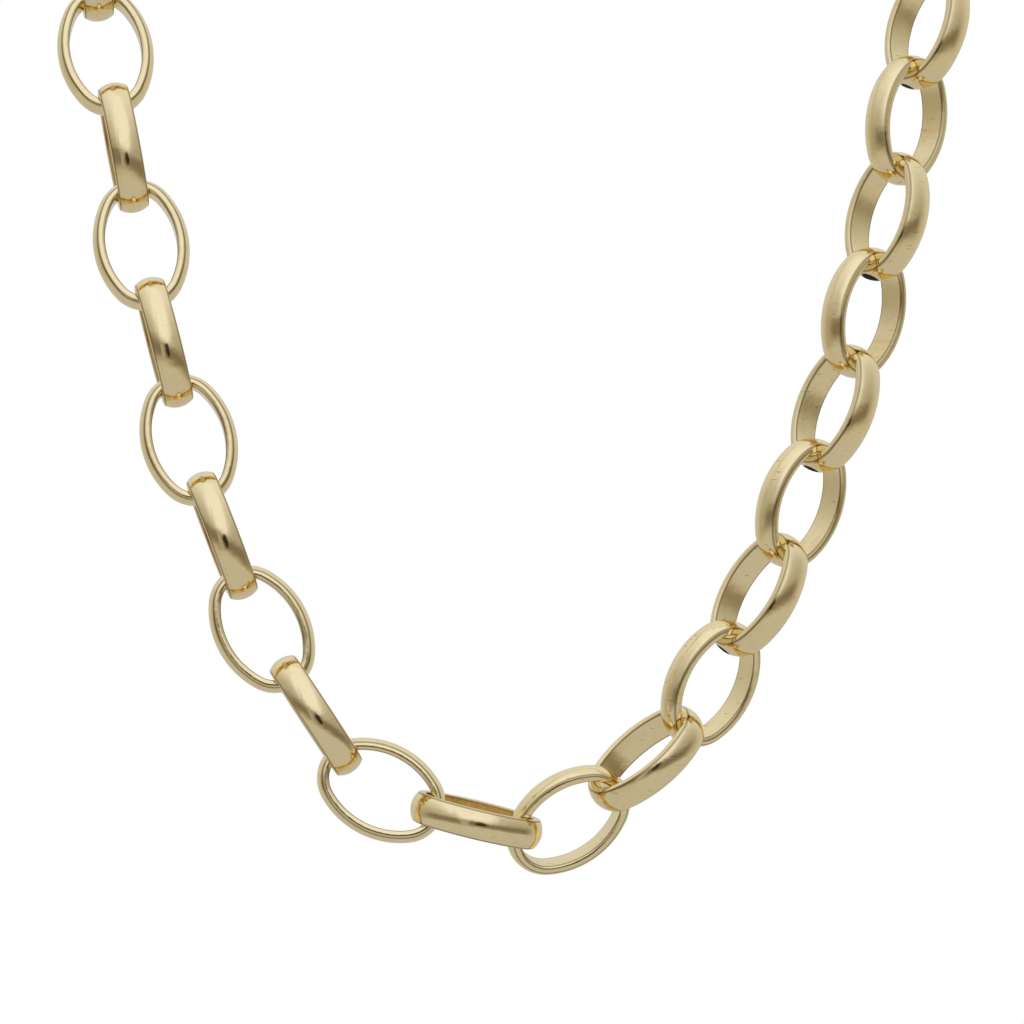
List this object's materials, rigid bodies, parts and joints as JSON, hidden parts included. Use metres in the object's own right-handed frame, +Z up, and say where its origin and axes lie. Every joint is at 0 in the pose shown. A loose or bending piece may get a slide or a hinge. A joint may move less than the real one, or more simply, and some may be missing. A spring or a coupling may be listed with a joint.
{
  "type": "rolo chain necklace",
  "caption": "Rolo chain necklace of oval band links, domed outside and flat inside, each hooked square through the next, hanging in a long curve.",
  "frame": {"origin": "middle of the wearer's neck, level with the chain's turn over the shoulders; the chain hangs in front of it and passes behind it", "axes": "+Z up along the neck, +X to the viewer's right across the wearer, +Y to the back of the neck; the front of the chain faces -Y"},
  "size_m": [0.1234, 0.0961, 0.1767],
  "materials": {
    "gold": "high polish, pale gold plating"
  },
  "bodies": {
    "root": {"link_01": "gold", "link_02": "gold", "link_03": "gold", "link_04": "gold", "link_05": "gold", "link_06": "gold", "link_07": "gold", "link_08": "gold", "link_09": "gold", "link_10": "gold", "link_11": "gold", "link_12": "gold", "link_13": "gold", "link_14": "gold", "link_15": "gold", "link_16": "gold", "link_17": "gold", "link_18": "gold", "link_19": "gold", "link_20": "gold", "link_21": "gold", "link_22": "gold", "link_23": "gold", "link_24": "gold", "link_25": "gold", "link_26": "gold", "link_27": "gold", "link_28": "gold", "link_29": "gold", "link_30": "gold", "link_31": "gold", "link_32": "gold", "link_33": "gold", "link_34": "gold", "link_35": "gold", "link_36": "gold", "link_37": "gold", "link_38": "gold", "link_39": "gold", "link_40": "gold", "end_ring_right": "gold", "clasp": "gold", "end_ring_left": "gold"}
  },
  "joints": []
}
